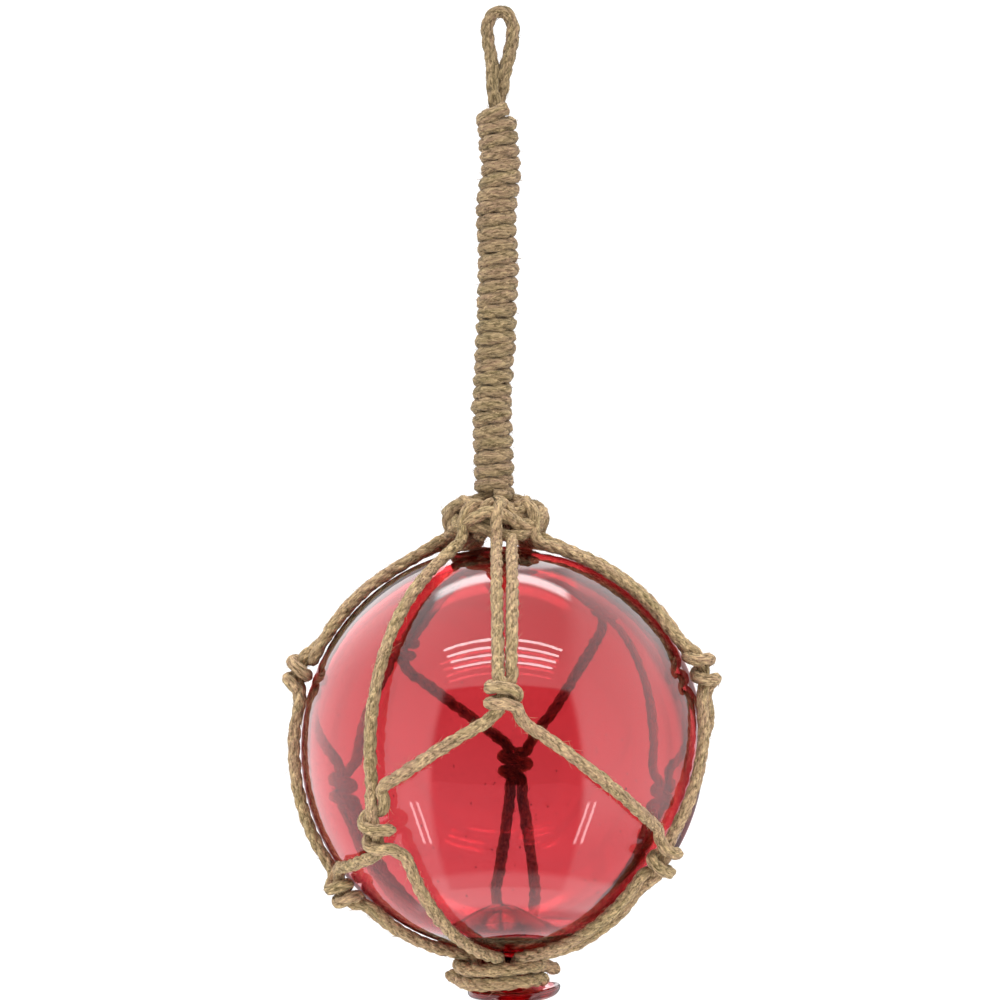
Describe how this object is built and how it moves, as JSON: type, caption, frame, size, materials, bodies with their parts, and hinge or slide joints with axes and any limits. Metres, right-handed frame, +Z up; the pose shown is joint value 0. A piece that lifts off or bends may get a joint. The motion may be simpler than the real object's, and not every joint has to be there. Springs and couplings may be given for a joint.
{
  "type": "rope-wrapped glass ball",
  "caption": "Blown red glass float sealed with a glass button, held in a knotted jute net and hung from a cord-wrapped hanger with an eye.",
  "frame": {"origin": "the inside top of the hanging eye, where a hook or nail carries it", "axes": "+Z up along the hanger, front of the net towards -Y, +X to the right"},
  "size_m": [0.1678, 0.1744, 0.374],
  "materials": {
    "red_glass": "clear blown soda glass, coloured red, glossy",
    "jute": "three-strand natural jute cord, hairy",
    "hanger_jute": "three-strand natural jute cord, hairy, slightly greyer"
  },
  "bodies": {
    "root": {"glass_ball": "red_glass", "crown_ring": "jute", "hanger_cord": "hanger_jute", "hanger_wrap": "hanger_jute", "net_cord_front": "jute", "net_cord_right": "jute", "net_cord_back_right": "jute", "net_cord_back_left": "jute", "net_cord_left": "jute", "net_cord_front_left": "jute", "neck_lashing": "jute"}
  },
  "joints": []
}
